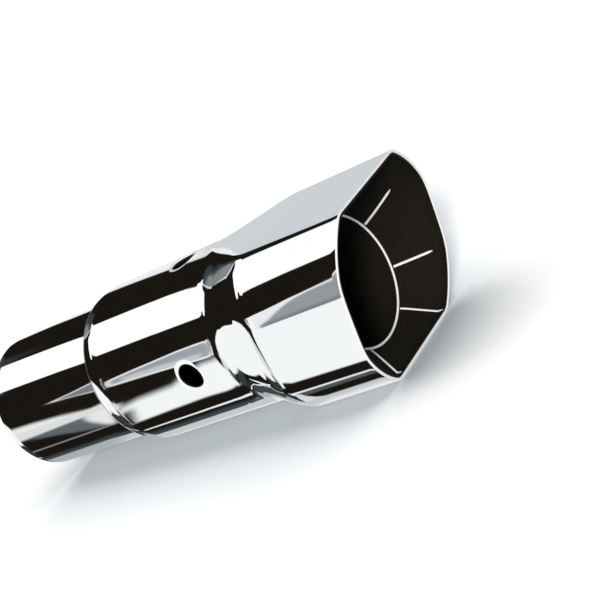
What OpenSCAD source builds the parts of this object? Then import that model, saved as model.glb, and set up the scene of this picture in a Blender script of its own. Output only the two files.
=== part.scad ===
// Exhaust tip: an inner tube with a slip-on inlet, a polished outer shell whose round body
// flares into a slant-cut mouth with a flat top and bottom, and a folded cone that closes
// the space between the two at the mouth. The axis runs along +X from the inlet to the mouth,
// +Z is square to the flats with the longer lip up, and the origin is the centre of the inlet end.

/* [Inner tube] */
// Bore of the inlet end, which slips over a 63.5 mm pipe
inlet_bore_d = 64; // [60:0.5:66]
// Wall of the inner tube
tube_wall = 1.2; // [0.8:0.1:1.8]
// Straight length of the inlet end
socket_len = 88; // [80:1:95]
// Length of the swage between the inlet end and the inner run
swage_len = 18; // [10:1:25]
// Outside diameter of the inner run
run_d = 59.7; // [54:0.1:62]

/* [Outer shell] */
// How far the round body stands out from the inlet end
body_step = 4.9; // [3.5:0.1:7]
// Inlet end to the back of the shell's shoulder
body_x = 74.3; // [68:0.1:78]
// Wall of the shell
shell_wall = 1.2; // [0.8:0.1:1.6]
// Bow radius with which the body necks in towards its back
neck_r = 30; // [20:1:40]
// Slope that the neck has reached at the shoulder
neck_deg = 14; // [4:1:16]
// Inside bend radius where the shoulder meets the collar
collar_bend = 0.8; // [0.4:0.1:1]
// Straight length of the collar that holds the shell on the tube
grip_len = 1.5; // [1:0.1:4]

/* [Air holes] */
// Number of holes round the body
hole_count = 4; // [2:1:8]
// Diameter of a hole
hole_d = 12.5; // [8:0.1:16]
// Inlet end to the centres of the holes
hole_x = 134.8; // [110:0.1:140]

/* [Flare] */
// Inlet end to the start of the flare, at the level of the axis
flare_x = 154; // [150:0.5:158]
// Length of the flare, at the level of the axis
flare_len = 31; // [26:0.5:36]
// How far the flare's end leans forward towards the longer lip
flare_lean_deg = 8; // [0:1:15]
// Length of the rounded bend at each end of the flare
bend_len = 10; // [4:0.5:12]
// Extra softness of the flats' edges halfway along the flare
flare_blend = 2; // [0.5:0.1:3]

/* [Mouth] */
// Width over the bowed sides
mouth_w = 88.4; // [86:0.1:90]
// Height over the two flats
mouth_h = 76.2; // [72:0.1:80]
// Width of each flat, from corner to corner
flat_w = 52.2; // [44:0.1:56]
// Bow radius of each side
side_bow_r = 300; // [150:10:400]
// Rounding of the corners and of the sides' edges
corner_blend = 1.6; // [0.5:0.1:3]
// Inlet end to the rim, at the level of the axis
rim_x = 232.9; // [228:0.1:245]
// Slant of the rim
slant_deg = 15.7; // [0:0.1:20]
// Depth from the rim back to the front end of the inner run, at the level of the axis
mouth_depth = 24.1; // [18:0.1:32]

/* [Mouth cone] */
// Wall of the cone
cone_wall = 1; // [0.8:0.1:1.4]
// Depth of the lip that lies against the shell at the rim
lip_len = 3; // [2:0.5:5]
// Length of the collar that sits over the inner run
collar_len = 8; // [5:0.5:12]
// Angle from the level of the axis to the folds beside each side facet
fold_deg = 20; // [15:1:30]
// Depth to which the folds flatten each facet, as a share of a flat facet
fold_depth = 0.45; // [0.1:0.05:0.8]

/* [Fits] */
// Radial gap at each welded seat
seat_gap = 0.1; // [0.05:0.05:0.2]

/* [Hidden] */
$fn = 96;
socket_r = inlet_bore_d / 2 + tube_wall;
run_r = run_d / 2;
tube_len = rim_x - mouth_depth;
body_r = socket_r + body_step;
// Outer radius of the collar, and the step from it up to the body that neck and shoulder share
grip_r = socket_r + seat_gap + shell_wall;
back_step = body_r - grip_r - collar_bend;
// The neck gives way where the shoulder would have no room left to bend round its wall
neck_end = min(neck_deg, acos(1 - max(back_step - 1.05 * shell_wall, 0) / neck_r));
shoulder_r = (back_step - neck_r * (1 - cos(neck_end))) / cos(neck_end);
// Height of a rim or flare edge grows the distance along the axis by these rates
slant = tan(slant_deg);
lean = tan(flare_lean_deg);
// Direction of the mouth's corners, and the radius at which they lie
corner_deg = atan2(mouth_h, flat_w);
corner_r = norm([mouth_h, flat_w]) / 2;
// The join between the turned body and the formed mouth, and the skin by which the mouth covers it
join_len = 1.5;
join_skin = 0.06;
// The eight facets round the axis, each as [start, end, steps]
facets = [
    [-fold_deg, fold_deg, 12], [fold_deg, corner_deg, 10],
    [corner_deg, 180 - corner_deg, 16], [180 - corner_deg, 180 - fold_deg, 10],
    [180 - fold_deg, 180 + fold_deg, 12], [180 + fold_deg, 180 + corner_deg, 10],
    [180 + corner_deg, 360 - corner_deg, 16], [360 - corner_deg, 360 - fold_deg, 10]
];
// Every direction round the axis, with the facet's width and the place within the facet
rays = [for (f = facets) for (i = [0 : f[2] - 1])
    [f[0] + (f[1] - f[0]) * i / f[2], f[1] - f[0], i / f[2]]];

function mix(a, b, t) = a + (b - a) * t;
// Smooth minimum, rounding the edge between two surfaces over a width k
function soft_min(a, b, k) = let (h = max(k - abs(a - b), 0)) min(a, b) - (k > 0 ? h * h / (4 * k) : 0);
// Radius of the outer skin at angle a, when the section is a share s of the way from the
// round body to the mouth, and lies inset below the outside
function skin_r(a, s, inset) = let (
    round_r = mix(body_r, corner_r, s) - inset,
    bow_r = mix(body_r, side_bow_r, s) - inset,
    bow_c = mix(body_r, mouth_w / 2, s) - mix(body_r, side_bow_r, s),
    side_r = bow_c * abs(cos(a)) + sqrt(bow_r * bow_r - pow(bow_c * sin(a), 2)),
    flat_r = (mix(body_r, mouth_h / 2, s) - inset) / max(abs(sin(a)), 0.01),
    blend = corner_blend * s + 4 * flare_blend * s * (1 - s),
    rounded = soft_min(round_r, side_r, blend)
) soft_min(rounded, flat_r, blend);
// Share of the flare's rise at a share u of its length: a straight taper with a bend at each end
function rise(u, b) = u < b ? u * u / (2 * b * (1 - b))
    : u < 1 - b ? (u - b / 2) / (1 - b)
    : 1 - (1 - u) * (1 - u) / (2 * b * (1 - b));
// One ring of the formed mouth, a share u along the flare, inset below the outside
function flare_ring(u, inset) = let (s = rise(u, bend_len / flare_len))
    [for (d = rays) let (r = skin_r(d[0], s, inset), z = r * sin(d[0]))
        [flare_x + u * (flare_len + lean * z), r * cos(d[0]), z]];
// One ring on the mouth's straight run, set back from the rim
function rim_ring(inset, back) = [for (d = rays) let (r = skin_r(d[0], 1, inset), z = r * sin(d[0]))
    [rim_x + slant * z - back, r * cos(d[0]), z]];
// One round ring
function round_ring(x, r) = [for (d = rays) [x, r * cos(d[0]), r * sin(d[0])]];
// One ring of the cone, a share v from the inner run to the lip, out from its inner face.
// The folds flatten each facet most where the cone leaves the inner run.
function cone_ring(v, out) = let (fade = fold_depth * (1 - v) * min(1, v / 0.2))
    [for (d = rays) let (
        inset = shell_wall + seat_gap + cone_wall,
        far_r = skin_r(d[0], 1, inset),
        near_r = run_r + seat_gap,
        dip = fade * (1 - cos(d[1] / 2)) * 4 * d[2] * (1 - d[2]),
        r = mix(near_r, far_r, v) * (1 - dip) + out,
        far_x = rim_x + slant * far_r * sin(d[0]) - lip_len
    ) [mix(tube_len, far_x, v), r * cos(d[0]), r * sin(d[0])]];

// Points along an arc about a centre, from one angle to another
function arc(centre, r, from, to, steps) =
    [for (i = [0 : steps]) let (t = mix(from, to, i / steps)) centre + r * [cos(t), sin(t)]];

// Line of the shell's wall from its front to its back, inset below the outside: the body, the
// neck, the shoulder and the collar on the tube
function wall_line(front, inset) = let (
    neck_x = body_x + shoulder_r + (neck_r - shoulder_r) * sin(neck_end)
) concat(
    [[body_r - inset, front]],
    arc([body_r - neck_r, neck_x], neck_r - inset, 0, -neck_end, 4),
    arc([grip_r + collar_bend, body_x + shoulder_r], max(shoulder_r - inset, 0.05), -neck_end, -90, 6),
    arc([grip_r + collar_bend, body_x - collar_bend], collar_bend + inset, 90, 180, 4),
    [[grip_r - inset, body_x - collar_bend - grip_len]]
);

// A closed skin through rings of equal count, the last joined to the first
module ring_solid(rings) {
    n = len(rings[0]);
    m = len(rings);
    polyhedron(
        points = [for (ring = rings) each ring],
        faces = [for (j = [0 : m - 1]) for (i = [0 : n - 1]) let (
            a = j * n + i, b = j * n + (i + 1) % n,
            c = ((j + 1) % m) * n + (i + 1) % n, d = ((j + 1) % m) * n + i
        ) each [[a, c, b], [a, d, c]]],
        convexity = 6);
}

// Turns a profile drawn as [radius, distance along the axis] round the part's axis
module turned() {
    rotate([0, 90, 0]) rotate_extrude($fn = 96) children();
}

module inner_tube() {
    r0 = socket_r;
    r1 = run_r;
    w = tube_wall;
    color([0.80, 0.81, 0.82]) turned() polygon([
        [r0 - w, 0], [r0, 0], [r0, socket_len], [r1, socket_len + swage_len], [r1, tube_len],
        [r1 - w, tube_len], [r1 - w, socket_len + swage_len], [r0 - w, socket_len]
    ]);
}

module round_body() {
    outside = wall_line(flare_x + join_len, 0);
    inside = wall_line(flare_x + join_len, shell_wall);
    difference() {
        turned() polygon(concat(outside, [for (i = [len(inside) - 1 : -1 : 0]) inside[i]]));
        for (i = [0 : hole_count - 1])
            rotate([i * 360 / hole_count, 0, 0]) translate([hole_x, 0, 0])
                cylinder(d = hole_d, h = body_r + 1);
    }
}

module formed_mouth() {
    shares = [0, 0.08, 0.16, 0.24, 0.33, 0.5, 0.67, 0.76, 0.84, 0.92, 1];
    back = flare_x - join_len;
    ring_solid(concat(
        [round_ring(back, body_r + join_skin)],
        [for (u = shares) flare_ring(u, u == 0 ? -join_skin : 0)],
        [rim_ring(0, 0), rim_ring(shell_wall, 0)],
        [for (i = [len(shares) - 1 : -1 : 0]) let (u = shares[i])
            flare_ring(u, shell_wall + (u == 0 ? join_skin : 0))],
        [round_ring(back, body_r - shell_wall - join_skin)]
    ));
}

module outer_shell() {
    color([0.86, 0.87, 0.88]) {
        round_body();
        formed_mouth();
    }
}

module mouth_cone() {
    shares = [0, 0.1, 0.2, 0.4, 0.6, 0.8, 1];
    inset = shell_wall + seat_gap;
    back = tube_len - collar_len;
    color([0.74, 0.75, 0.76]) ring_solid(concat(
        [round_ring(back, run_r + seat_gap + cone_wall)],
        [for (v = shares) cone_ring(v, cone_wall)],
        [rim_ring(inset, 0), rim_ring(inset + cone_wall, 0)],
        [for (i = [len(shares) - 1 : -1 : 0]) cone_ring(shares[i], 0)],
        [round_ring(back, run_r + seat_gap)]
    ));
}

inner_tube();
outer_shell();
mouth_cone();
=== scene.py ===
import math

import bpy
import numpy as np
from mathutils import Matrix, Vector


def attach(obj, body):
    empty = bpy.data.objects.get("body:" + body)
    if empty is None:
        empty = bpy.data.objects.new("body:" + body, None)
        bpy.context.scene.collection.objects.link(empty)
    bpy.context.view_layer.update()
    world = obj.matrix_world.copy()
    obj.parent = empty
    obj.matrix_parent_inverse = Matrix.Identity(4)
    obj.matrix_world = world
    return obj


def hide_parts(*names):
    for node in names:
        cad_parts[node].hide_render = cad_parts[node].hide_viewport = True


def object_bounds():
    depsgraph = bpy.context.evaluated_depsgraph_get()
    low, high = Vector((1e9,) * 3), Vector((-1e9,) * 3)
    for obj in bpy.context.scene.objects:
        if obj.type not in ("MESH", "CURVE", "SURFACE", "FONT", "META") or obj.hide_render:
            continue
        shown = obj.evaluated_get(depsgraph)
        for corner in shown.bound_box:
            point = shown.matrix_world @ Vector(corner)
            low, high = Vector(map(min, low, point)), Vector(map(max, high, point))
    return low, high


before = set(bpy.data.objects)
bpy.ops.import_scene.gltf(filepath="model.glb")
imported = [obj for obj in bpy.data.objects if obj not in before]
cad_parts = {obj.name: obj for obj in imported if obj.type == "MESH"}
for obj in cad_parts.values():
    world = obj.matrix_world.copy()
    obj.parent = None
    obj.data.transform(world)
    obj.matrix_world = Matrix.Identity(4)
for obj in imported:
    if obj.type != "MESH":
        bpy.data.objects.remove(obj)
cad_low, cad_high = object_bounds()

# Sizes are in millimetres along the frame's axes, as in the part's source, and MM turns them
# into metres. Angles round the axis start at +Y and turn towards +Z.
MM = 0.001

# Inner tube
SOCKET_R = 33.2
TUBE_WALL = 1.2
SOCKET_LEN = 88.0
SWAGE_LEN = 18.0
RUN_R = 29.85
TUBE_LEN = 208.8

# Outer shell. At its back the body necks in, turns down and ends in a short collar on the tube.
SEAT_GAP = 0.1
BODY_R = 38.1
BODY_X = 74.3
SHELL_WALL = 1.2
NECK_R = 30.0
NECK_DEG = 14.0
COLLAR_FILLET = 0.8
SHELL_COLLAR = 1.5

# Air holes, with the edge that the punch rolled inwards
HOLE_COUNT = 4
HOLE_R = 6.25
HOLE_X = 134.8
HOLE_ROLL = 0.6
HOLE_LIP = 1.9

# Flare and mouth
FLARE_X = 154.0
FLARE_LEN = 31.0
FLARE_LEAN = math.tan(math.radians(8))
BEND_LEN = 10.0
FLARE_BLEND = 2.0
MOUTH_W = 88.4
MOUTH_H = 76.2
FLAT_W = 52.2
SIDE_BOW_R = 300.0
CORNER_BLEND = 1.6
RIM_X = 232.9
SLANT = math.tan(math.radians(15.7))
CORNER_R = math.hypot(MOUTH_H, FLAT_W) / 2
CORNER_DEG = math.degrees(math.atan2(MOUTH_H, FLAT_W))

# Mouth cone
CONE_WALL = 1.0
LIP_LEN = 3.0
LIP_SET_BACK = 0.25
COLLAR_LEN = 8.0
FOLD_DEG = 20.0
FOLD_DEPTH = 0.45

# Creases that stand up along the cone's folds, as (angle at the inner run, angle at the outer end,
# share of the way to the lip, width). The hidden side has the same as the side that shows. The
# lowest on each side runs on over the lip to the rim's corner.
CREASES = [(22.8, 31.3, 0.64, 1.2), (-21.7, -20.8, 0.86, 1.2), (-58.3, -57.3, 1.22, 1.0),
           (157.2, 148.7, 0.64, 1.2), (-158.3, -159.2, 0.86, 1.2), (-121.7, -122.7, 1.22, 1.0)]
CREASE_HEIGHT = 0.45

# Light. The lamp and a plain room light what isn't metal, and only the metal mirrors the cloths.
# The camera sees the floor whiter, and greyer near the part with a painted contact shadow, within the
# reach of that shadow.
ROOM_LIGHT = (0.28, 0.295, 0.31)
LAMP_STRENGTH = 2.55
LAMP_DEG = 10.0
LAMP_COLOUR = (1.0, 0.975, 0.94)
LAMP_FROM = (0.525, -0.775, 0.352)
FLOOR_HALF = 6.0
FLOOR_SEEN = (1.95, 1.95, 1.95)
CONTACT_SEEN = (0.72, 0.78, 0.82)
CONTACT_REACH = 0.09

# Camera, with the lens in millimetres for a sensor 36 mm wide, and its right and back axes
LENS = 89.842
CAMERA_AT = (591.61, -462.69, 175.38)
CAMERA_RIGHT = (0.71605, 0.43269, -0.54776)
CAMERA_BACK = (0.64122, -0.71784, 0.27119)


def mix(a, b, t):
    return a + (b - a) * t


def soft_min(a, b, k):
    """Smooth minimum, rounding the edge between two surfaces over a width k."""
    h = np.maximum(k - np.abs(a - b), 0)
    return np.minimum(a, b) - h * h / (4 * k + 1e-9)


def skin_r(a, s, inset=0.0):
    """Radius of the outer skin at angles a, a share s of the way from round body to mouth."""
    round_r = mix(BODY_R, CORNER_R, s) - inset
    bow_r = mix(BODY_R, SIDE_BOW_R, s) - inset
    bow_c = mix(BODY_R, MOUTH_W / 2, s) - mix(BODY_R, SIDE_BOW_R, s)
    side_r = bow_c * np.abs(np.cos(a)) + np.sqrt(bow_r**2 - (bow_c * np.sin(a)) ** 2)
    flat_r = (mix(BODY_R, MOUTH_H / 2, s) - inset) / np.maximum(np.abs(np.sin(a)), 0.01)
    blend = CORNER_BLEND * s + 4 * FLARE_BLEND * s * (1 - s)
    return soft_min(soft_min(round_r, side_r, blend), flat_r, blend)


def rise(u):
    """Share of the flare's rise at a share u of its length, with a bend at each end."""
    b = BEND_LEN / FLARE_LEN
    if u < b:
        return u * u / (2 * b * (1 - b))
    if u < 1 - b:
        return (u - b / 2) / (1 - b)
    return 1 - (1 - u) ** 2 / (2 * b * (1 - b))


# Angles at which every ring has its points. They crowd where the mouth has its corners.
def ring_angles():
    near = 4.0
    quarter = np.concatenate([
        np.linspace(0, CORNER_DEG - near, 42, endpoint=False),
        np.linspace(CORNER_DEG - near, CORNER_DEG + near, 24, endpoint=False),
        np.linspace(CORNER_DEG + near, 90, 24, endpoint=False),
    ])
    other = 180 - quarter[::-1]
    half = np.concatenate([quarter, [90.0], other[:-1]])
    return np.radians(np.concatenate([half, half + 180]))


ANGLES = ring_angles()
COS, SIN = np.cos(ANGLES), np.sin(ANGLES)


def ring(x, r):
    """One ring of points, at distances x along the axis and radii r."""
    return np.stack([x + 0 * COS, r * COS, r * SIN], axis=1)


def flare_ring(u, inset=0.0):
    r = skin_r(ANGLES, rise(u), inset)
    return ring(FLARE_X + u * (FLARE_LEN + FLARE_LEAN * r * SIN), r)


def mouth_ring(share, inset=0.0, back=0.0):
    """A ring on the mouth's straight run, a share of the way from flare to rim."""
    r = skin_r(ANGLES, 1.0, inset)
    start = FLARE_X + FLARE_LEN + FLARE_LEAN * r * SIN
    return ring(mix(start, RIM_X + SLANT * r * SIN - back, share), r)


def arc(x, r, radius, start, end, steps):
    """Rings round the axis along an arc of a given radius, centred at distance x and radius r."""
    turns = [math.radians(mix(start, end, i / steps)) for i in range(steps + 1)]
    return [ring(x + radius * math.cos(t), r + radius * math.sin(t)) for t in turns]


def add_piece(name, skin, node):
    """Makes a smooth mesh piece of a skin, which stands for a CAD node."""
    mesh = bpy.data.meshes.new(name)
    mesh.from_pydata((np.asarray(skin.points) * MM).tolist(), [], skin.faces)
    mesh.shade_smooth()
    for first, last, number in skin.marks:
        for face in mesh.polygons[first:last]:
            face.material_index = number
    mesh.normals_split_custom_set_from_vertices(skin.normals)
    piece = bpy.data.objects.new(name, mesh)
    bpy.context.collection.objects.link(piece)
    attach(piece, "root")
    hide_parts(node)
    return piece


class Skin:
    """A closed skin built ring by ring, which notes the material of each run of faces."""

    def __init__(self):
        self.points = []
        self.normals = []
        self.faces = []
        self.marks = []

    def add(self, points, round_body=False):
        """Adds a ring of points and gives their numbers. Those on the round body face straight out."""
        first = len(self.points)
        self.points += [tuple(p) for p in points]
        for _, y, z in points:
            r = math.hypot(y, z)
            self.normals.append((0, y / r, z / r) if round_body else (0, 0, 0))
        return list(range(first, first + len(points)))

    def band(self, a, b, material=0):
        """Joins two rings of equal count with a band of faces."""
        n = len(a)
        first = len(self.faces)
        self.faces += [(a[i], a[(i + 1) % n], b[(i + 1) % n], b[i]) for i in range(n)]
        self.marks.append((first, len(self.faces), material))

    def run(self, rings, material=0, start=None, round_body=False):
        """Joins rings in turn, from the numbers of a ring that is there, and gives the last."""
        last = start
        for points in rings:
            new = self.add(points, round_body)
            if last is not None:
                self.band(last, new, material)
            last = new
        return last


# Material slots: polished chrome, edges whose white is a painted highlight, and insides whose
# near-black is painted shade.
BRIGHT, PAINTED_HIGHLIGHT, PAINTED_SHADE = 0, 1, 2


def make_inner_tube():
    wall, edge = TUBE_WALL, TUBE_WALL / 2
    swage = [(mix(SOCKET_LEN, SOCKET_LEN + SWAGE_LEN, t), mix(SOCKET_R, RUN_R, t * t * (3 - 2 * t)))
             for t in np.linspace(0, 1, 12)]
    skin = Skin()
    first = skin.add(ring(edge, SOCKET_R - wall))
    start = skin.run(arc(edge, SOCKET_R - edge, edge, 270, 90, 10)[1:], PAINTED_HIGHLIGHT, first)
    outer = [ring(x, SOCKET_R) for x in np.linspace(4, SOCKET_LEN - 2, 12)]
    outer += [ring(x, r) for x, r in swage]
    outer += [ring(x, RUN_R) for x in np.linspace(SOCKET_LEN + SWAGE_LEN + 4, TUBE_LEN - 2, 8)]
    last = skin.run(outer, BRIGHT, start)
    last = skin.run(arc(TUBE_LEN - edge, RUN_R - edge, edge, 90, -90, 10), PAINTED_HIGHLIGHT, last)
    inner = [ring(x, RUN_R - wall) for x in np.linspace(TUBE_LEN - 2, SOCKET_LEN + SWAGE_LEN + 4, 8)]
    inner += [ring(x, r - wall) for x, r in swage[::-1]]
    inner += [ring(x, SOCKET_R - wall) for x in np.linspace(SOCKET_LEN - 2, 4, 8)]
    last = skin.run(inner, PAINTED_SHADE, last)
    skin.band(last, first, PAINTED_SHADE)
    return add_piece("inner_tube_skin", skin, "inner_tube")


def back_profile(inset=0.0):
    """The shell's back as (x, r), from the neck's start to the collar, set in from the outside."""
    neck = math.radians(NECK_DEG)
    drop = NECK_R * (1 - math.cos(neck))
    collar_r = SOCKET_R + SEAT_GAP + SHELL_WALL
    turn_r = (BODY_R - drop - collar_r - COLLAR_FILLET) / math.cos(neck)
    turn_x = BODY_X + turn_r
    turn_y = collar_r + COLLAR_FILLET
    neck_x = turn_x + (NECK_R - turn_r) * math.sin(neck)
    neck_y = BODY_R - NECK_R
    outline = []
    reach = NECK_R - inset
    for t in np.linspace(0, neck, 16):
        outline.append((neck_x - reach * math.sin(t), neck_y + reach * math.cos(t)))
    reach = turn_r - inset
    for t in np.linspace(neck, math.pi / 2, 12):
        outline.append((turn_x - reach * math.sin(t), turn_y + reach * math.cos(t)))
    reach = COLLAR_FILLET + inset
    for t in np.linspace(0, math.pi / 2, 7)[1:]:
        outline.append((BODY_X - COLLAR_FILLET + reach * math.cos(t), turn_y - reach * math.sin(t)))
    return outline


def hole_loops(skin, outer_loop, inner_loop, turn):
    """Joins a loop on the shell's outside to one on its inside through a hole with a rolled edge."""
    points = np.array([skin.points[i] for i in outer_loop])
    deg = np.arctan2(points[:, 2], points[:, 1]) - turn
    deg = (deg + np.pi) % (2 * np.pi) - np.pi
    along = points[:, 0] - HOLE_X
    side = deg / np.abs(deg).max()
    phi = np.arctan2(along / np.abs(along).max(), side)

    def circle(d, depth):
        r = BODY_R - depth
        a = np.arcsin(d * np.cos(phi) / r)
        return r, a, d * np.sin(phi)

    def place(r, a, x):
        return np.stack([HOLE_X + x, r * np.cos(a + turn), r * np.sin(a + turn)], axis=1)

    rolled = HOLE_R + HOLE_ROLL
    _, edge_a, edge_x = circle(rolled, 0)
    shares = (0.25, 0.5, 0.7, 0.85, 0.94)
    outer = [place(BODY_R, mix(deg, edge_a, t), mix(along, edge_x, t)) for t in shares]
    last = skin.run(outer, BRIGHT, outer_loop, round_body=True)
    roll = [circle(rolled - HOLE_ROLL * math.sin(t), HOLE_ROLL * (1 - math.cos(t)))
            for t in np.linspace(0, math.pi / 2, 12)]
    last = skin.run([place(*c) for c in roll], PAINTED_HIGHLIGHT, last)
    lip = [(HOLE_R, HOLE_LIP - 0.1), (HOLE_R + 0.1, HOLE_LIP), (HOLE_R + 0.9, HOLE_LIP),
           (HOLE_R + 1.0, HOLE_LIP - 0.1), (HOLE_R + 1.1, SHELL_WALL + 0.2),
           (rolled + 0.3, SHELL_WALL)]
    last = skin.run([place(*circle(*c)) for c in lip], PAINTED_SHADE, last)
    inner_r, edge_a, edge_x = circle(rolled + 0.3, SHELL_WALL)
    inner = [place(inner_r, mix(edge_a, deg, t), mix(edge_x, along, t)) for t in (0.15, 0.4, 0.7)]
    last = skin.run(inner, PAINTED_SHADE, last)
    skin.band(last, inner_loop, PAINTED_SHADE)


def hole_belt(skin, outer_back, outer_front, inner_back, inner_front):
    """Fills the belt of the body between two rings, outside and inside, with the air holes in it."""
    half = (skin.points[outer_front[0]][0] - skin.points[outer_back[0]][0]) / 2
    rows = np.linspace(-half, half, 10)[1:-1]
    count = len(ANGLES)
    step = count // HOLE_COUNT
    columns = {}
    for radius, key in ((BODY_R, "out"), (BODY_R - SHELL_WALL, "in")):
        for k in range(HOLE_COUNT):
            i = k * step + step // 2
            line = [(HOLE_X + x, radius * COS[i], radius * SIN[i]) for x in rows]
            columns[key, k] = skin.add(line, round_body=key == "out")
    for k in range(HOLE_COUNT):
        right, left = k * step + step // 2, (k - 1) * step + step // 2
        across = [i % count for i in range(left, right + 1)]
        loops = []
        for key, back, front in (("out", outer_back, outer_front), ("in", inner_back, inner_front)):
            loop = [back[i] for i in across] + columns[key, k]
            loop += [front[i] for i in across[::-1]] + columns[key, (k - 1) % HOLE_COUNT][::-1]
            loops.append(loop)
        hole_loops(skin, loops[0], loops[1], math.radians(360 / HOLE_COUNT * k))


def make_outer_shell():
    wall = SHELL_WALL
    collar_end = BODY_X - COLLAR_FILLET - SHELL_COLLAR
    collar_mid = SOCKET_R + SEAT_GAP + wall / 2
    belt = 11.0
    outline, inline = back_profile(), back_profile(wall)
    skin = Skin()
    first = skin.add(ring(outline[-1][0], SOCKET_R + SEAT_GAP))
    last = skin.run(arc(collar_end + wall / 2, collar_mid, wall / 2, 270, 90, 10), PAINTED_HIGHLIGHT, first)
    last = skin.run([ring(x, r) for x, r in outline[::-1]], BRIGHT, last)
    body = np.linspace(outline[0][0] + 2, HOLE_X - belt, 14)
    back = skin.run([ring(x, BODY_R) for x in body], BRIGHT, last, round_body=True)
    front = skin.add(ring(HOLE_X + belt, BODY_R), round_body=True)
    before_flare = np.linspace(HOLE_X + belt + 1, FLARE_X - 0.5, 6)
    last = skin.run([ring(x, BODY_R) for x in before_flare], BRIGHT, front, round_body=True)
    last = skin.run([flare_ring(u) for u in np.linspace(0, 1, 56)], BRIGHT, last)
    edge = wall / 2
    last = skin.run([mouth_ring(t, back=edge) for t in (0.1, 0.4, 0.7, 0.95, 1.0)], BRIGHT, last)
    rim = [mouth_ring(1.0, inset=edge * (1 - math.cos(t)), back=edge * (1 - math.sin(t)))
           for t in np.linspace(math.radians(12), math.radians(180), 15)]
    last = skin.run(rim, PAINTED_HIGHLIGHT, last)
    last = skin.run([mouth_ring(t, inset=wall, back=edge) for t in (0.98, 0.9, 0.5, 0.1)], PAINTED_SHADE, last)
    last = skin.run([flare_ring(u, inset=wall) for u in np.linspace(1, 0, 14)], PAINTED_SHADE, last)
    inner_front = skin.run([ring(x, BODY_R - wall) for x in (FLARE_X - 2, HOLE_X + belt)], PAINTED_SHADE, last)
    inner_back = skin.add(ring(HOLE_X - belt, BODY_R - wall))
    hole_belt(skin, back, front, inner_back, inner_front)
    liner = np.linspace(HOLE_X - belt - 4, outline[0][0] + 2, 6)
    last = skin.run([ring(x, BODY_R - wall) for x in liner], PAINTED_SHADE, inner_back)
    last = skin.run([ring(x, r) for x, r in inline], PAINTED_SHADE, last)
    skin.band(last, first, PAINTED_SHADE)
    return add_piece("outer_shell_skin", skin, "outer_shell")


FACET_EDGES = [-FOLD_DEG, FOLD_DEG, CORNER_DEG, 180 - CORNER_DEG, 180 - FOLD_DEG,
               180 + FOLD_DEG, 180 + CORNER_DEG, 360 - CORNER_DEG, 360 - FOLD_DEG]


def facet_dip(deg):
    """How far each angle lies within a flat facet's sagging middle, as a share of the radius."""
    deg = (deg + FOLD_DEG) % 360 - FOLD_DEG
    dip = np.zeros_like(deg)
    for low, high in zip(FACET_EDGES[:-1], FACET_EDGES[1:], strict=True):
        place = (deg - low) / (high - low)
        inside = (place >= 0) & (place < 1)
        depth = 1 - math.cos(math.radians((high - low) / 2))
        dip = np.where(inside, depth * 4 * place * (1 - place), dip)
    return dip


def cone_points(v, angles, out=0.0):
    """Points of the cone, a share v from the inner run to the lip and on, out from its inner face."""
    near = np.minimum(v, 1)
    fade = FOLD_DEPTH * (1 - near) * np.minimum(1, v / 0.2)
    far_r = skin_r(angles, 1.0, SHELL_WALL + SEAT_GAP + CONE_WALL)
    r = mix(RUN_R + SEAT_GAP, far_r, near) * (1 - fade * facet_dip(np.degrees(angles))) + out
    far_x = RIM_X + SLANT * far_r * np.sin(angles) - LIP_LEN
    return np.stack([mix(TUBE_LEN, far_x, v), r * np.cos(angles), r * np.sin(angles)], axis=1)


def cone_ring(v, out=0.0):
    return cone_points(v, ANGLES, out)


def add_crease(skin, start_deg, end_deg, reach, width):
    """Lays a slim bead, pointed at its outer end, along a line on the cone's inner face."""
    v = np.linspace(0.01, reach, 40)
    angles = np.radians(mix(start_deg, end_deg, v / reach))
    line = cone_points(v, angles)
    along = np.gradient(line, axis=0)
    along /= np.linalg.norm(along, axis=1)[:, None]
    outward = np.stack([0 * angles, np.cos(angles), np.sin(angles)], axis=1)
    across = np.cross(along, outward)
    across /= np.linalg.norm(across, axis=1)[:, None]
    up = np.cross(across, along)
    up *= -np.sign((up * outward).sum(axis=1))[:, None]
    taper = np.sqrt(np.clip((reach - v) / (0.12 * reach), 0.02, 1))
    turns = np.radians(np.arange(0, 360, 30))
    rings = []
    for p, a, u, t in zip(line, across, up, taper, strict=True):
        side = np.outer(np.cos(turns), a) * (width / 2 * t)
        rise_up = np.outer(np.sin(turns), u) * (CREASE_HEIGHT * t)
        rings.append(p + side + rise_up)
    first = skin.add(rings[0])
    # The bead takes the edge material, whose white is a painted highlight.
    last = skin.run(rings[1:], PAINTED_HIGHLIGHT, first)
    skin.faces += [tuple(first[::-1]), tuple(last)]
    skin.marks.append((len(skin.faces) - 2, len(skin.faces), PAINTED_HIGHLIGHT))


def make_mouth_cone():
    inset = SHELL_WALL + SEAT_GAP
    seat = RUN_R + SEAT_GAP
    start = TUBE_LEN - COLLAR_LEN
    shares = np.concatenate([np.linspace(0, 0.2, 9), np.linspace(0.25, 1, 22)])
    skin = Skin()
    first = skin.add(ring(start, seat))
    outer = [ring(start, seat + CONE_WALL)] + [cone_ring(v, CONE_WALL) for v in shares]
    last = skin.run(outer, PAINTED_SHADE, first)
    half = CONE_WALL / 2
    lip = [mouth_ring(1.0, inset=inset + half * (1 - math.cos(t)),
                      back=half * (1 - math.sin(t)) + LIP_SET_BACK)
           for t in np.linspace(0, math.pi, 12)]
    last = skin.run(lip + [cone_ring(v) for v in shares[::-1]], PAINTED_SHADE, last)
    skin.band(last, first, PAINTED_SHADE)
    for crease in CREASES:
        add_crease(skin, *crease)
    return add_piece("mouth_cone_skin", skin, "mouth_cone")


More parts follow.
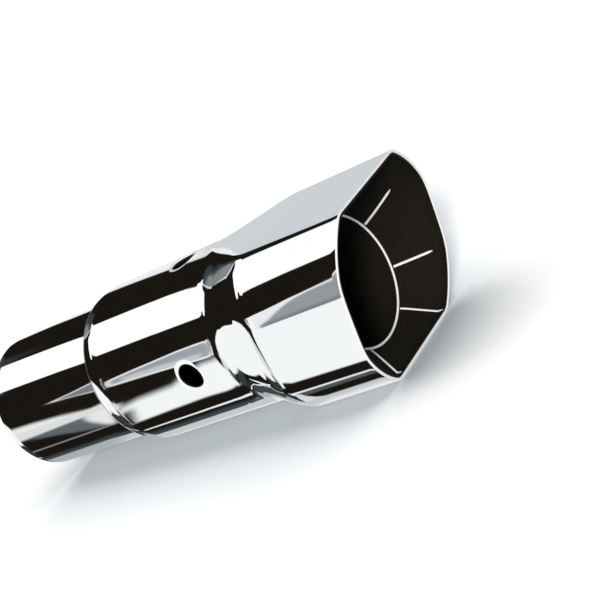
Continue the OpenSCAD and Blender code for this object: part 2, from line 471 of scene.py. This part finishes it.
def add_node(tree, kind, **values):
    """Adds a shader node and sets the sockets named."""
    node = tree.nodes.new(kind)
    for name, value in values.items():
        node.inputs[name.replace("_", " ")].default_value = value
    return node


def noise(tree, scale, stretch=(1, 1, 1), detail=4.0):
    """Noise in the piece's own space, in metres, stretched along its axes."""
    coords = tree.nodes.new("ShaderNodeTexCoord")
    mapping = add_node(tree, "ShaderNodeMapping", Scale=stretch)
    tree.links.new(coords.outputs["Object"], mapping.inputs["Vector"])
    texture = add_node(tree, "ShaderNodeTexNoise", Scale=scale, Detail=detail)
    tree.links.new(mapping.outputs["Vector"], texture.inputs["Vector"])
    return texture.outputs["Fac"]


def spread(tree, value, low, high, start=0.35, end=0.65):
    """Spreads what lies between start and end over a range from low to high."""
    node = add_node(tree, "ShaderNodeMapRange", From_Min=start, From_Max=end, To_Min=low, To_Max=high)
    tree.links.new(value, node.inputs["Value"])
    return node.outputs["Result"]


def tint(tree, value, low, high):
    """Blends between two colours by a value from 0 to 1."""
    node = tree.nodes.new("ShaderNodeMix")
    node.data_type = "RGBA"
    node.inputs["A"].default_value = (*low, 1)
    node.inputs["B"].default_value = (*high, 1)
    tree.links.new(value, node.inputs["Factor"])
    return node.outputs["Result"]


def metal(name, low, high, gloss, metallic=1.0, grain=None):
    """Metal, or a plain surface where metallic is 0, whose colour and gloss drift a little, with fine
    polishing marks round the axis.
    """
    material = bpy.data.materials.new(name)
    material.use_nodes = True
    tree = material.node_tree
    shader = tree.nodes["Principled BSDF"]
    shader.inputs["Metallic"].default_value = metallic
    cloud = spread(tree, noise(tree, 18), 0, 1)
    tree.links.new(tint(tree, cloud, low, high), shader.inputs["Base Color"])
    smear = spread(tree, noise(tree, 60, detail=6.0), *gloss)
    tree.links.new(smear, shader.inputs["Roughness"])
    if grain:
        marks = noise(tree, grain[0], stretch=(9, 1, 1), detail=3.0)
        bump = add_node(tree, "ShaderNodeBump", Strength=grain[1], Distance=grain[2])
        tree.links.new(marks, bump.inputs["Height"])
        tree.links.new(bump.outputs["Normal"], shader.inputs["Normal"])
    return material


bright = metal("polished chrome", (0.93, 0.94, 0.95), (0.955, 0.96, 0.965), (0.012, 0.035),
               grain=(450, 0.02, 0.00002))
# Painted highlight: a white surface that isn't metal, on the rims, the rolled hole edges and the
# creases, standing in for the highlights that chrome edges mirror.
painted_highlight_edge = metal("painted highlight edge", (0.96, 0.96, 0.96), (0.99, 0.99, 0.99), (0.26, 0.38),
                   metallic=0.0)
painted_highlight_edge.node_tree.nodes["Principled BSDF"].inputs["Specular IOR Level"].default_value = 1.0
# Painted shade: near-black surfaces, not metal, on the bore, the shell's inside, the hole walls and
# the cone, where the chrome lies in shade; the cone's is painted a little darker than the bore's.
painted_shade_bore = metal("painted shade bore", (0.0145, 0.0125, 0.0102), (0.0165, 0.0142, 0.0115), (0.5, 0.62),
                  metallic=0.0)
painted_shade_cone = metal("painted shade cone", (0.0125, 0.0107, 0.0087), (0.0145, 0.0125, 0.0102), (0.5, 0.62),
                  metallic=0.0)
for shaded in (painted_shade_bore, painted_shade_cone):
    shaded.node_tree.nodes["Principled BSDF"].inputs["Specular IOR Level"].default_value = 0.03
tube = make_inner_tube()
shell = make_outer_shell()
cone = make_mouth_cone()
for piece, inside in ((tube, painted_shade_bore), (shell, painted_shade_bore), (cone, painted_shade_cone)):
    for material in (bright, painted_highlight_edge, inside):
        piece.data.materials.append(material)


# Studio surroundings. A direction is given by its turn round the axis, 0 facing the photographer,
# 90 overhead and 180 behind, and by its lean, 0 towards the mouth and 180 towards the inlet.
def tone(red, green=None, blue=None):
    """A colour as it shows on a screen, from 0 to 255, turned into light."""
    parts = (red, green if green is not None else red, blue if blue is not None else red)
    return tuple((p / 255 / 12.92) if p <= 10 else ((p / 255 + 0.055) / 1.055) ** 2.4 for p in parts)


class Sky:
    """Hangs strips of cloth on the white surroundings that the metal mirrors."""

    def __init__(self, tree):
        self.tree = tree
        coords = tree.nodes.new("ShaderNodeTexCoord")
        split = tree.nodes.new("ShaderNodeSeparateXYZ")
        tree.links.new(coords.outputs["Generated"], split.inputs[0])
        x, y, z = split.outputs
        facing = self.math("MULTIPLY", y, -1)
        self.turn = self.math("MULTIPLY", self.math("ARCTAN2", z, facing), 180 / math.pi)
        self.lean = self.math("MULTIPLY", self.math("ARCCOSINE", x), 180 / math.pi)
        self.colour = None

    def math(self, operation, *values, clamp=False):
        node = self.tree.nodes.new("ShaderNodeMath")
        node.operation = operation
        node.use_clamp = clamp
        for socket, value in zip(node.inputs, values, strict=False):
            if isinstance(value, (int, float)):
                socket.default_value = value
            else:
                self.tree.links.new(value, socket)
        return node.outputs[0]

    def step(self, value, soft):
        """Goes smoothly from 0 to 1 as a value goes from -soft to soft."""
        node = self.tree.nodes.new("ShaderNodeMapRange")
        node.interpolation_type = "SMOOTHSTEP"
        node.inputs["From Min"].default_value = -soft
        node.inputs["From Max"].default_value = soft
        self.tree.links.new(value, node.inputs["Value"])
        return node.outputs["Result"]

    def edge(self, rows):
        """The turn of a strip's edge at each lean, along straight lines between rows (lean, turn)."""
        start, span = rows[0][0], rows[-1][0] - rows[0][0]
        node = self.tree.nodes.new("ShaderNodeFloatCurve")
        curve = node.mapping.curves[0]
        node.mapping.extend = "HORIZONTAL"
        places = [((lean - start) / span, 0.5 + turn / 400) for lean, turn in rows]
        curve.points[0].location, curve.points[1].location = places[0], places[-1]
        for place in places[1:-1]:
            curve.points.new(*place)
        for point in curve.points:
            point.handle_type = "VECTOR"
        node.mapping.update()
        share = self.math("DIVIDE", self.math("SUBTRACT", self.lean, start), span, clamp=True)
        self.tree.links.new(share, node.inputs["Value"])
        return self.math("MULTIPLY", self.math("SUBTRACT", node.outputs[0], 0.5), 400)

    def strip(self, colour, rows, soft=(0.7, 0.7), ends=(None, None)):
        """Hangs a strip between two edges. A row is (lean, lower turn, upper turn), soft is how far
        each edge fades, and ends is how far the strip fades at its first and last lean."""
        low = self.edge([(lean, turn) for lean, turn, _ in rows])
        high = self.edge([(lean, turn) for lean, _, turn in rows])
        cover = self.math("MULTIPLY", self.step(self.math("SUBTRACT", self.turn, low), soft[0]),
                          self.step(self.math("SUBTRACT", high, self.turn), soft[1]))
        if ends[0] is not None:
            into = self.math("SUBTRACT", self.lean, rows[0][0])
            cover = self.math("MULTIPLY", cover, self.step(into, ends[0]))
        if ends[1] is not None:
            left = self.math("SUBTRACT", rows[-1][0], self.lean)
            cover = self.math("MULTIPLY", cover, self.step(left, ends[1]))
        blend = self.tree.nodes.new("ShaderNodeMix")
        blend.data_type = "RGBA"
        self.tree.links.new(cover, blend.inputs["Factor"])
        if isinstance(self.colour, tuple):
            blend.inputs["A"].default_value = (*self.colour, 1)
        else:
            self.tree.links.new(self.colour, blend.inputs["A"])
        blend.inputs["B"].default_value = (*colour, 1)
        self.colour = blend.outputs["Result"]


BLACK = tone(26, 23, 19)
WHITE = (1.06, 1.06, 1.06)


def hang_strips(sky):
    """The strips, over the leans that the mouth (to 132), the body (133 to 138) and the tube
    (138 to 142) mirror towards the photographer, and those of the flare and the shoulder."""
    sky.colour = WHITE
    # the photographer's side
    sky.strip(tone(249, 251, 251), [(100, -100, 30), (180, -100, 30)], soft=(1, 4))
    # far side, level with the part and lower down
    sky.strip(tone(240), [(132, 105, 181), (137, 105, 181)])
    sky.strip(tone(240), [(132, -181, -166), (137, -181, -166)])
    sky.strip(tone(206, 212, 215), [(100, 105, 181), (132.6, 105, 181)], ends=(None, 0.5))
    sky.strip(tone(206, 212, 215), [(100, -181, -166), (132.6, -181, -166)], ends=(None, 0.5))
    sky.strip(tone(238), [(100, -166, -104), (142, -166, -104)], soft=(3, 2))
    sky.strip(tone(200, 204, 207), [(100, -118, -104), (130, -118, -105), (132, -135, -105),
                                    (138, -140, -104), (142, -150, -102)], soft=(8, 2))
    sky.strip(tone(172, 178, 182), [(138, -150, -102), (142.6, -150, -102)], soft=(5, 4),
              ends=(0.4, 0.3))
    sky.strip(tone(67, 71, 74), [(142.6, -136, -94), (147, -136, -97), (150, -134, -98),
                                 (152, -125, -103), (153.5, -115, -104)], soft=(3, 2), ends=(0.3, 0.3))
    # underneath
    sky.strip(BLACK, [(100, -105, -55), (128.5, -105, -56), (131.2, -105, -52), (131.7, -105, -47),
                      (132.3, -106, -44), (132.9, -108, -52), (133.5, -109, -63),
                      (134.5, -109, -60.5), (136, -109, -62), (138, -107, -65),
                      (138.3, -103, -66), (142.3, -103, -66), (142.6, -100, -44), (145, -100, -48),
                      (149, -101, -50), (152, -104, -53), (155.5, -104, -57), (156.5, -104, -62),
                      (157.5, -104, -75), (158.5, -104, -80), (180, -104, -83)], soft=(2, 3))
    sky.strip(tone(216, 221, 223), [(130.3, -106, -103), (130.5, -106, -101), (130.8, -106, -94.5),
                                    (131.2, -106, -86), (131.6, -106, -84), (132.1, -106, -85),
                                    (132.5, -106, -92), (132.8, -108, -103)],
              soft=(1, 1), ends=(0.15, 0.15))
    sky.strip(tone(66, 71, 74), [(132.3, -106, -97), (133.2, -109, -98), (137.5, -108, -98),
                                 (138.3, -103, -92), (142.4, -103, -92)],
              soft=(2, 7), ends=(0.4, 0.3))
    sky.strip(tone(42, 45, 47), [(142.6, -94, -70), (148, -97, -74), (152, -104, -80),
                                 (154.5, -104, -90)], soft=(2, 9), ends=(0.5, 1))
    sky.strip(tone(245), [(142.5, -92.5, -90), (147, -99, -96), (152.3, -105.5, -102),
                          (154, -104, -100.5), (155, -104, -100), (155.6, -105, -82),
                          (156.3, -106, -92)], soft=(0.8, 0.8), ends=(0.2, 0.2))
    sky.strip(tone(78, 85, 87), [(100, -91, -84), (131, -91, -84)], soft=(1.5, 0.5), ends=(None, 0.2))
    sky.strip(tone(242), [(100, -84.5, -81.8), (128.5, -84.5, -81.8), (131.3, -83.5, -80.5),
                          (132.8, -87, -80.5), (133.3, -88, -83.5), (135, -87.6, -84),
                          (137.3, -86.6, -84.3)], soft=(1.3, 0.7), ends=(None, 0.25))
    sky.strip(tone(58, 62, 64), [(142.5, -80, -62), (150, -80, -48), (155, -66, -50)], soft=(6, 6),
              ends=(1, 1))
    # overhead, from the photographer's side to the far side
    sky.strip(BLACK, [(100, 37, 120), (127.5, 33, 120), (128.5, 29.5, 122.5), (129.5, 27.3, 128),
                      (130.3, 25, 133), (131, 21, 137), (131.6, 18.2, 139), (132.4, 17.5, 142),
                      (133.5, 17.5, 148), (134.3, 17.5, 152), (136, 17, 162), (138.1, 17, 169),
                      (139, 17, 176), (142.3, 17, 176), (143, 20, 172), (147, 20, 158),
                      (152, 20, 150), (158, 22, 150), (166, 29, 150), (171, 38, 150),
                      (172, 60, 150)], soft=(0.8, 3))
    sky.strip(BLACK, [(142.2, -12, 40), (145, -4, 40), (148, 1, 40), (151, 7, 40), (155, 12, 40),
                      (161, 19, 40), (165, 25, 40), (168, 29, 45), (169.4, 29, 50), (170.3, 23, 50),
                      (171, 16, 50), (172, 11, 50), (180, 11, 50)], soft=(2.5, 1), ends=(0.2, None))
    sky.strip(BLACK, [(133.6, -11, 20), (134.3, -10, 20), (135.2, -20, 20), (135.6, -26, 20),
                      (137, -27, 20), (137.6, -31, 20), (138.15, -36, 20)], soft=(7, 1),
              ends=(0.15, 0.05))
    sky.strip(tone(38, 42, 44), [(137.3, -66, -38), (138.15, -66, -40)], soft=(4, 6), ends=(0.3, 0.05))
    sky.strip(BLACK, [(138.1, -66, 20), (139, -66, 20), (142.4, -66, 20)], soft=(3, 1),
              ends=(0.05, 0.2))
    sky.strip(WHITE, [(100, 55, 87.5), (128, 55, 87.5), (130, 54, 87.5), (132, 51.5, 87),
                      (133.4, 49.5, 92.5), (133.8, 49, 95.5), (134.5, 49.8, 97.5), (136, 51, 99),
                      (137.9, 52, 100), (138.2, 54, 102), (139.5, 56.5, 105), (141.7, 59.5, 109.5),
                      (142.4, 53, 95), (144, 52, 92), (145.3, 53, 91.5), (146.4, 58, 91),
                      (147.2, 72, 89)], soft=(0.6, 0.6), ends=(None, 0.25))
    # haze on the far side above the flare
    sky.strip(tone(58, 63, 65), [(140.6, 112, 122), (142.4, 101, 133), (145.5, 101, 143),
                                 (149, 101, 147), (152.5, 105, 145), (155, 112, 140),
                                 (156.8, 118, 133)], soft=(1.5, 5), ends=(1.5, 0.3))
    sky.strip(tone(132, 139, 141), [(147, 101.5, 118), (150, 102, 132), (153, 106, 140),
                                    (155, 112, 138), (156.8, 118, 132)],
              soft=(1.2, 9), ends=(3.5, 0.3))
    sky.strip(tone(225), [(142.4, 100, 102), (146, 100.5, 103), (149.6, 102.5, 105.5),
                          (152.8, 107, 110.5), (155, 112, 116), (156.9, 118, 126)],
              soft=(0.8, 1), ends=(0.3, 0.25))
    # the photographer's side, behind the mouth's side facet
    sky.strip(tone(240), [(112, -9, 38), (127.5, -9, 34.5), (128.5, -9, 31), (129.5, -9, 28.8),
                          (130.3, -9, 26.4), (131, -9, 22.4), (131.6, -9, 19.5), (132.3, -9, 18.5)],
              soft=(1, 0.5), ends=(4, 0.2))
    sky.strip(tone(150, 156, 160), [(112, -9, 35.7), (127.5, -9, 32.2), (128.5, -9, 28.6),
                                    (129.5, -9, 26), (130.2, -9, 21), (130.8, -9, 9),
                                    (131.3, -9, -2), (131.7, -9, -6)], soft=(1, 2.5), ends=(4, 0.1))
    sky.strip(tone(120, 126, 130), [(112, -9, -5), (130, -9, -5), (131.6, -9, -6)], soft=(1, 4),
              ends=(4, 0.2))
    # the tongue on the body
    sky.strip(tone(240), [(133.55, 2, 12), (133.7, -3, 16), (133.9, -5.5, 17.5), (134.2, -5, 18),
                          (135, -2.5, 18.2), (136, 0, 16.8), (137, 2.3, 15.4), (137.6, 3.6, 14.2),
                          (137.85, 4.6, 13.3), (138, 6.5, 11.5)], soft=(0.8, 0.7), ends=(0.1, 0.06))
    sky.strip(tone(158, 164, 168), [(133.7, 2, 11), (133.9, -3, 15.6), (135, 0, 16.2),
                                    (136, 2.5, 14.8), (137, 4.6, 13.4), (137.75, 6.2, 11.8)],
              soft=(1.5, 1), ends=(0.15, 0.1))
    sky.strip(tone(200, 205, 208), [(134.2, -3, 4), (136, 3, 8), (137.3, 5.5, 10.5)], soft=(1, 3),
              ends=(0.2, 0.2))
    # the lights that the tube mirrors on the photographer's side
    sky.strip(tone(96, 104, 108), [(138.05, -66, -16), (138.5, -64, -20), (139.3, -58, -22),
                                   (140.3, -47, -24), (141.2, -40, -20)], soft=(4, 4), ends=(0.1, 0.4))
    sky.strip(tone(238), [(138.6, -29, -24), (139.2, -31, -20), (140, -32, -15), (141, -34, -11),
                          (142.3, -36, -8)], soft=(4, 4), ends=(0.3, 0.15))
    sky.strip(tone(235), [(138.05, -66, -20), (138.35, -62, -20), (138.7, -52, -22),
                          (139.1, -40, -26)], soft=(5, 3), ends=(0.1, 0.2))
    sky.strip(tone(225), [(138.35, 3, 20), (139.2, 8, 16), (140.2, 12, 13)], soft=(0.8, 0.8),
              ends=(0.05, 0.1))
    sky.strip(tone(120, 126, 130), [(138.35, 4.5, 18), (139.2, 9, 14.5), (139.8, 11.5, 12.5)],
              soft=(0.8, 0.8), ends=(0.05, 0.1))
    sky.strip(tone(225), [(137.7, -31, -23), (138.6, -31, -22), (142.4, -34, -19)],
              soft=(1.5, 2), ends=(0.2, 0.2))


def make_world():
    world = bpy.data.worlds.new("studio")
    bpy.context.scene.world = world
    world.use_nodes = True
    tree = world.node_tree
    background = tree.nodes["Background"]
    sky = Sky(tree)
    hang_strips(sky)
    path = tree.nodes.new("ShaderNodeLightPath")
    shine = sky.math("MAXIMUM", path.outputs["Is Glossy Ray"], path.outputs["Is Transmission Ray"])
    blend = tree.nodes.new("ShaderNodeMix")
    blend.data_type = "RGBA"
    tree.links.new(shine, blend.inputs["Factor"])
    blend.inputs["A"].default_value = (*ROOM_LIGHT, 1)
    tree.links.new(sky.colour, blend.inputs["B"])
    camera_mix = tree.nodes.new("ShaderNodeMix")
    camera_mix.data_type = "RGBA"
    tree.links.new(path.outputs["Is Camera Ray"], camera_mix.inputs["Factor"])
    tree.links.new(blend.outputs["Result"], camera_mix.inputs["A"])
    camera_mix.inputs["B"].default_value = (1, 1, 1, 1)
    tree.links.new(camera_mix.outputs["Result"], background.inputs["Color"])
    background.inputs["Strength"].default_value = 1.0


def make_floor():
    """A pale floor that keeps the part's cast shadow, whiter to the camera than it lights the part,
    with a painted contact shadow near the part.
    """
    mesh = bpy.data.meshes.new("floor")
    size, level = FLOOR_HALF, cad_low.z
    corners = [(-size, -size, level), (size, -size, level), (size, size, level), (-size, size, level)]
    mesh.from_pydata(corners, [], [(0, 1, 2, 3)])
    floor = bpy.data.objects.new("floor", mesh)
    bpy.context.collection.objects.link(floor)
    material = bpy.data.materials.new("pale floor")
    material.use_nodes = True
    tree = material.node_tree
    cloud = spread(tree, noise(tree, 2.5), 0, 1)
    shade = tint(tree, cloud, (0.9, 0.9, 0.9), (0.915, 0.915, 0.915))
    path = tree.nodes.new("ShaderNodeLightPath")
    blend = tree.nodes.new("ShaderNodeMix")
    blend.data_type = "RGBA"
    tree.links.new(path.outputs["Is Camera Ray"], blend.inputs["Factor"])
    tree.links.new(shade, blend.inputs["A"])
    # Painted contact shadow: the occlusion within CONTACT_REACH tints the floor that the camera sees
    # from CONTACT_SEEN towards FLOOR_SEEN.
    near = tree.nodes.new("ShaderNodeAmbientOcclusion")
    near.samples = 16
    near.inputs["Distance"].default_value = CONTACT_REACH
    open_air = spread(tree, near.outputs["AO"], 0, 1, start=0.45, end=0.95)
    tree.links.new(tint(tree, open_air, CONTACT_SEEN, FLOOR_SEEN), blend.inputs["B"])
    diffuse = tree.nodes.new("ShaderNodeBsdfDiffuse")
    tree.links.new(blend.outputs["Result"], diffuse.inputs["Color"])
    tree.links.new(diffuse.outputs[0], tree.nodes["Material Output"].inputs["Surface"])
    mesh.materials.append(material)
    floor.visible_glossy = False


def make_key_light():
    """A soft lamp just to the left of the camera."""
    light = bpy.data.lights.new("key", "SUN")
    light.energy = LAMP_STRENGTH
    light.angle = math.radians(LAMP_DEG)
    light.color = LAMP_COLOUR
    key = bpy.data.objects.new("key", light)
    bpy.context.collection.objects.link(key)
    key.rotation_mode = "QUATERNION"
    key.rotation_quaternion = Vector(LAMP_FROM).to_track_quat("Z", "Y")
    key.visible_glossy = False
    key.visible_camera = False


def make_camera():
    """Puts the camera where the photograph was taken from. It is rolled about its own axis."""
    lens = bpy.data.cameras.new("camera")
    lens.sensor_width = 36.0
    lens.lens = LENS
    camera = bpy.data.objects.new("camera", lens)
    bpy.context.collection.objects.link(camera)
    right = Vector(CAMERA_RIGHT).normalized()
    back = Vector(CAMERA_BACK).normalized()
    up = back.cross(right).normalized()
    turn = Matrix((right, up, back)).transposed()
    camera.rotation_mode = "QUATERNION"
    camera.rotation_quaternion = turn.to_quaternion()
    camera.location = Vector(CAMERA_AT) * MM
    lens.clip_start, lens.clip_end = 0.05, 20
    bpy.context.scene.camera = camera


make_world()
make_floor()
make_key_light()
make_camera()
bpy.context.scene.view_settings.view_transform = "Standard"
